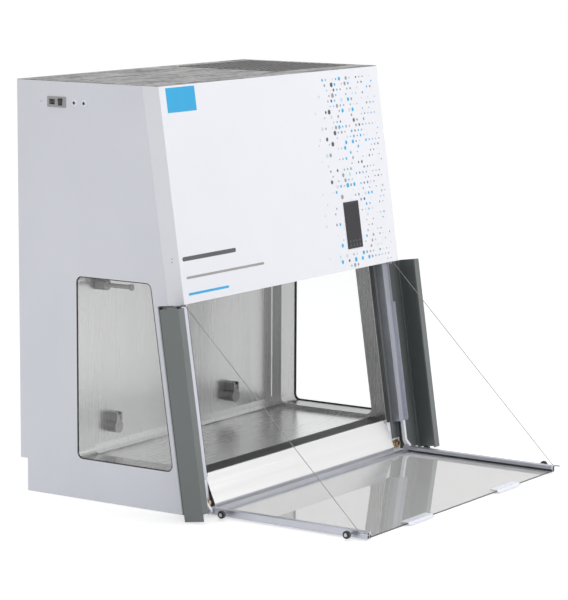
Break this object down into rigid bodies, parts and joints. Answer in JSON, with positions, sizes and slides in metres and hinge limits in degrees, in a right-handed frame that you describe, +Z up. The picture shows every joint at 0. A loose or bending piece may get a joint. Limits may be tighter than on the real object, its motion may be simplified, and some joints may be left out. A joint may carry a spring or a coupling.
{
  "type": "biological safety cabinet",
  "caption": "Class II biological safety cabinet with a sloped head, side windows, and a glazed sash that slides and folds down to the front on stay cables.",
  "frame": {"origin": "centre of the base, on the surface that the cabinet stands on", "axes": "+X to the right as seen from the front, +Y towards the rear, +Z up"},
  "size_m": [1.46, 1.363, 1.3817],
  "materials": {
    "white_paint": "satin white powder coat",
    "side_paint": "satin pale grey powder coat",
    "galvanised": "bare zinc-coated sheet",
    "stainless": "satin stainless",
    "stainless_bright": "bright stainless",
    "dark_mesh": "matt dark",
    "olive_steel": "satin olive grey",
    "anodised": "satin anodised",
    "white_arm": "white paint",
    "glass": "clear",
    "rubber": "matt black",
    "black_plastic": "black",
    "display": "black gloss",
    "brass": "satin",
    "filter": "white filter paper",
    "steel": "plain",
    "outlet_steel": "dull cast",
    "grey_plastic": "light grey",
    "strip_plastic": "pale translucent",
    "lamp": "opal",
    "cable": "wire rope"
  },
  "bodies": {
    "cabinet": {"base_tray": "side_paint", "left_side_panel": "side_paint", "right_side_panel": "side_paint", "window_gaskets": "rubber", "window_panes": "glass", "side_liners": "stainless", "chamber_back": "stainless", "work_surface": "stainless", "spill_tray": "stainless", "intake_grille": "dark_mesh", "front_apron": "stainless_bright", "front_jambs": "side_paint", "sash_seals": "rubber", "stile_guides": "olive_steel", "posts": "olive_steel", "post_plates": "olive_steel", "sash_rests": "brass", "front_bulkhead": "galvanised", "head_panel": "white_paint", "display_panel": "display", "top_panel": "galvanised", "exhaust_grille": "dark_mesh", "rear_cover": "side_paint", "ceiling_diffuser": "stainless", "work_light": "lamp", "supply_filter_frame": "steel", "filter_pleats": "filter", "plenum": "galvanised", "exhaust_filter_frame": "steel", "fan_inlet_ring": "steel", "fan_motor": "black_plastic", "motor_bridge": "galvanised", "control_box": "grey_plastic", "power_inlet": "grey_plastic", "fuse_holders": "black_plastic", "panel_screws": "steel", "outlet_bodies": "outlet_steel", "airflow_probe": "grey_plastic"},
    "sash_carriage": {"stiles": "anodised", "edge_strips": "anodised", "hinge_arms": "white_arm", "pivot_pins": "steel", "cable_anchors": "steel", "stay_cables": "cable"},
    "sash": {"left_sash_rail": "anodised", "right_sash_rail": "anodised", "sash_cross_rail": "anodised", "sash_pane": "glass", "glazing_strips": "rubber", "handle_strips": "strip_plastic", "roller_axles": "steel", "cable_ends": "steel"},
    "left_rear_roller": {"left_rear_roller": "black_plastic"},
    "left_front_roller": {"left_front_roller": "black_plastic"},
    "right_rear_roller": {"right_rear_roller": "black_plastic"},
    "right_front_roller": {"right_front_roller": "black_plastic"},
    "left_outlet_lid": {"left_outlet_lid": "outlet_steel"},
    "right_outlet_lid": {"right_outlet_lid": "outlet_steel"},
    "fan_wheel": {"fan_wheel": "galvanised"},
    "power_rocker": {"power_rocker": "black_plastic"}
  },
  "joints": [
    {"name": "sash_slide", "type": "slide", "parent": "cabinet", "child": "sash_carriage", "axis": [0, 0.1449, 0.9895], "range_m": [0, 0.48]},
    {"name": "sash_fold", "type": "hinge", "parent": "sash_carriage", "child": "sash", "pos_m": [0, -0.395, 0.0175], "axis": [-1, 0, 0], "range_deg": [0, 98.33], "deforming": ["stay_cables"]},
    {"name": "left_rear_roller_spin", "type": "hinge", "parent": "sash", "child": "left_rear_roller", "pos_m": [-0.636, -0.457, 0.0185], "axis": [1, 0, 0], "continuous": true},
    {"name": "left_front_roller_spin", "type": "hinge", "parent": "sash", "child": "left_front_roller", "pos_m": [-0.636, -0.933, 0.0185], "axis": [1, 0, 0], "continuous": true},
    {"name": "right_rear_roller_spin", "type": "hinge", "parent": "sash", "child": "right_rear_roller", "pos_m": [0.636, -0.457, 0.0185], "axis": [1, 0, 0], "continuous": true},
    {"name": "right_front_roller_spin", "type": "hinge", "parent": "sash", "child": "right_front_roller", "pos_m": [0.636, -0.933, 0.0185], "axis": [1, 0, 0], "continuous": true},
    {"name": "left_outlet_lid_hinge", "type": "hinge", "parent": "cabinet", "child": "left_outlet_lid", "pos_m": [-0.41, 0.1282, 0.24], "axis": [-1, 0, 0], "range_deg": [0, 110], "stiffness_Nm_per_rad": 0.02, "springref_deg": -34.38},
    {"name": "right_outlet_lid_hinge", "type": "hinge", "parent": "cabinet", "child": "right_outlet_lid", "pos_m": [0.275, 0.1282, 0.24], "axis": [-1, 0, 0], "range_deg": [0, 110], "stiffness_Nm_per_rad": 0.02, "springref_deg": -34.38},
    {"name": "fan_spin", "type": "hinge", "parent": "cabinet", "child": "fan_wheel", "pos_m": [-0.23, -0.005, 1.19], "axis": [0, 0, 1], "continuous": true},
    {"name": "power_rocker_tilt", "type": "hinge", "parent": "cabinet", "child": "power_rocker", "pos_m": [-0.644, 0.178, 1.3115], "axis": [0, 1, 0], "range_deg": [0, 12]}
  ]
}
